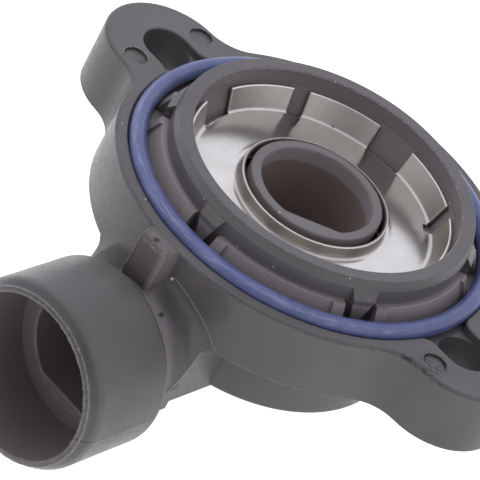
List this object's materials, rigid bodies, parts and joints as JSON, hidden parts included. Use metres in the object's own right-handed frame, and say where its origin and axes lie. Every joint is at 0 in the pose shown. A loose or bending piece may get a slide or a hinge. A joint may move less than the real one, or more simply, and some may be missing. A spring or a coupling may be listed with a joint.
{
  "type": "throttle position sensor",
  "caption": "Throttle position sensor: a round housing with bolt ears and a plug socket, an O-ring, a pressed retainer cup and a sprung rotor with a D-shaped drive hole.",
  "frame": {"origin": "on the rotor axis, level with the mounting face", "axes": "+Z out of the mounting face along the rotor axis, bolt ears along X, connector along -Y"},
  "size_m": [0.0634, 0.0604, 0.0286],
  "materials": {
    "housing_plastic": "moulded, soft sheen",
    "seal_rubber": "smooth, dull",
    "cup_steel": "satin, pressed",
    "rotor_plastic": "moulded",
    "spring_steel": "drawn wire",
    "contact_brass": "stamped",
    "board_laminate": "laminate",
    "resistor_carbon": "printed film",
    "collector_silver": "printed film"
  },
  "bodies": {
    "body": {"housing": "housing_plastic", "o_ring": "seal_rubber", "retainer_cup": "cup_steel", "return_spring": "spring_steel", "element_board": "board_laminate", "resistor_track": "resistor_carbon", "collector_track": "collector_silver", "terminal_left": "contact_brass", "terminal_middle": "contact_brass", "terminal_right": "contact_brass", "contact_rivets": "contact_brass"},
    "turning": {"rotor": "rotor_plastic", "wiper": "contact_brass"}
  },
  "joints": [
    {"name": "rotor_turn", "type": "hinge", "parent": "body", "child": "turning", "pos_m": [0, 0, 0], "axis": [0, 0, 1], "range_deg": [0, 100], "stiffness_Nm_per_rad": 0.01, "springref_deg": -28.65, "deforming": ["return_spring"]}
  ]
}
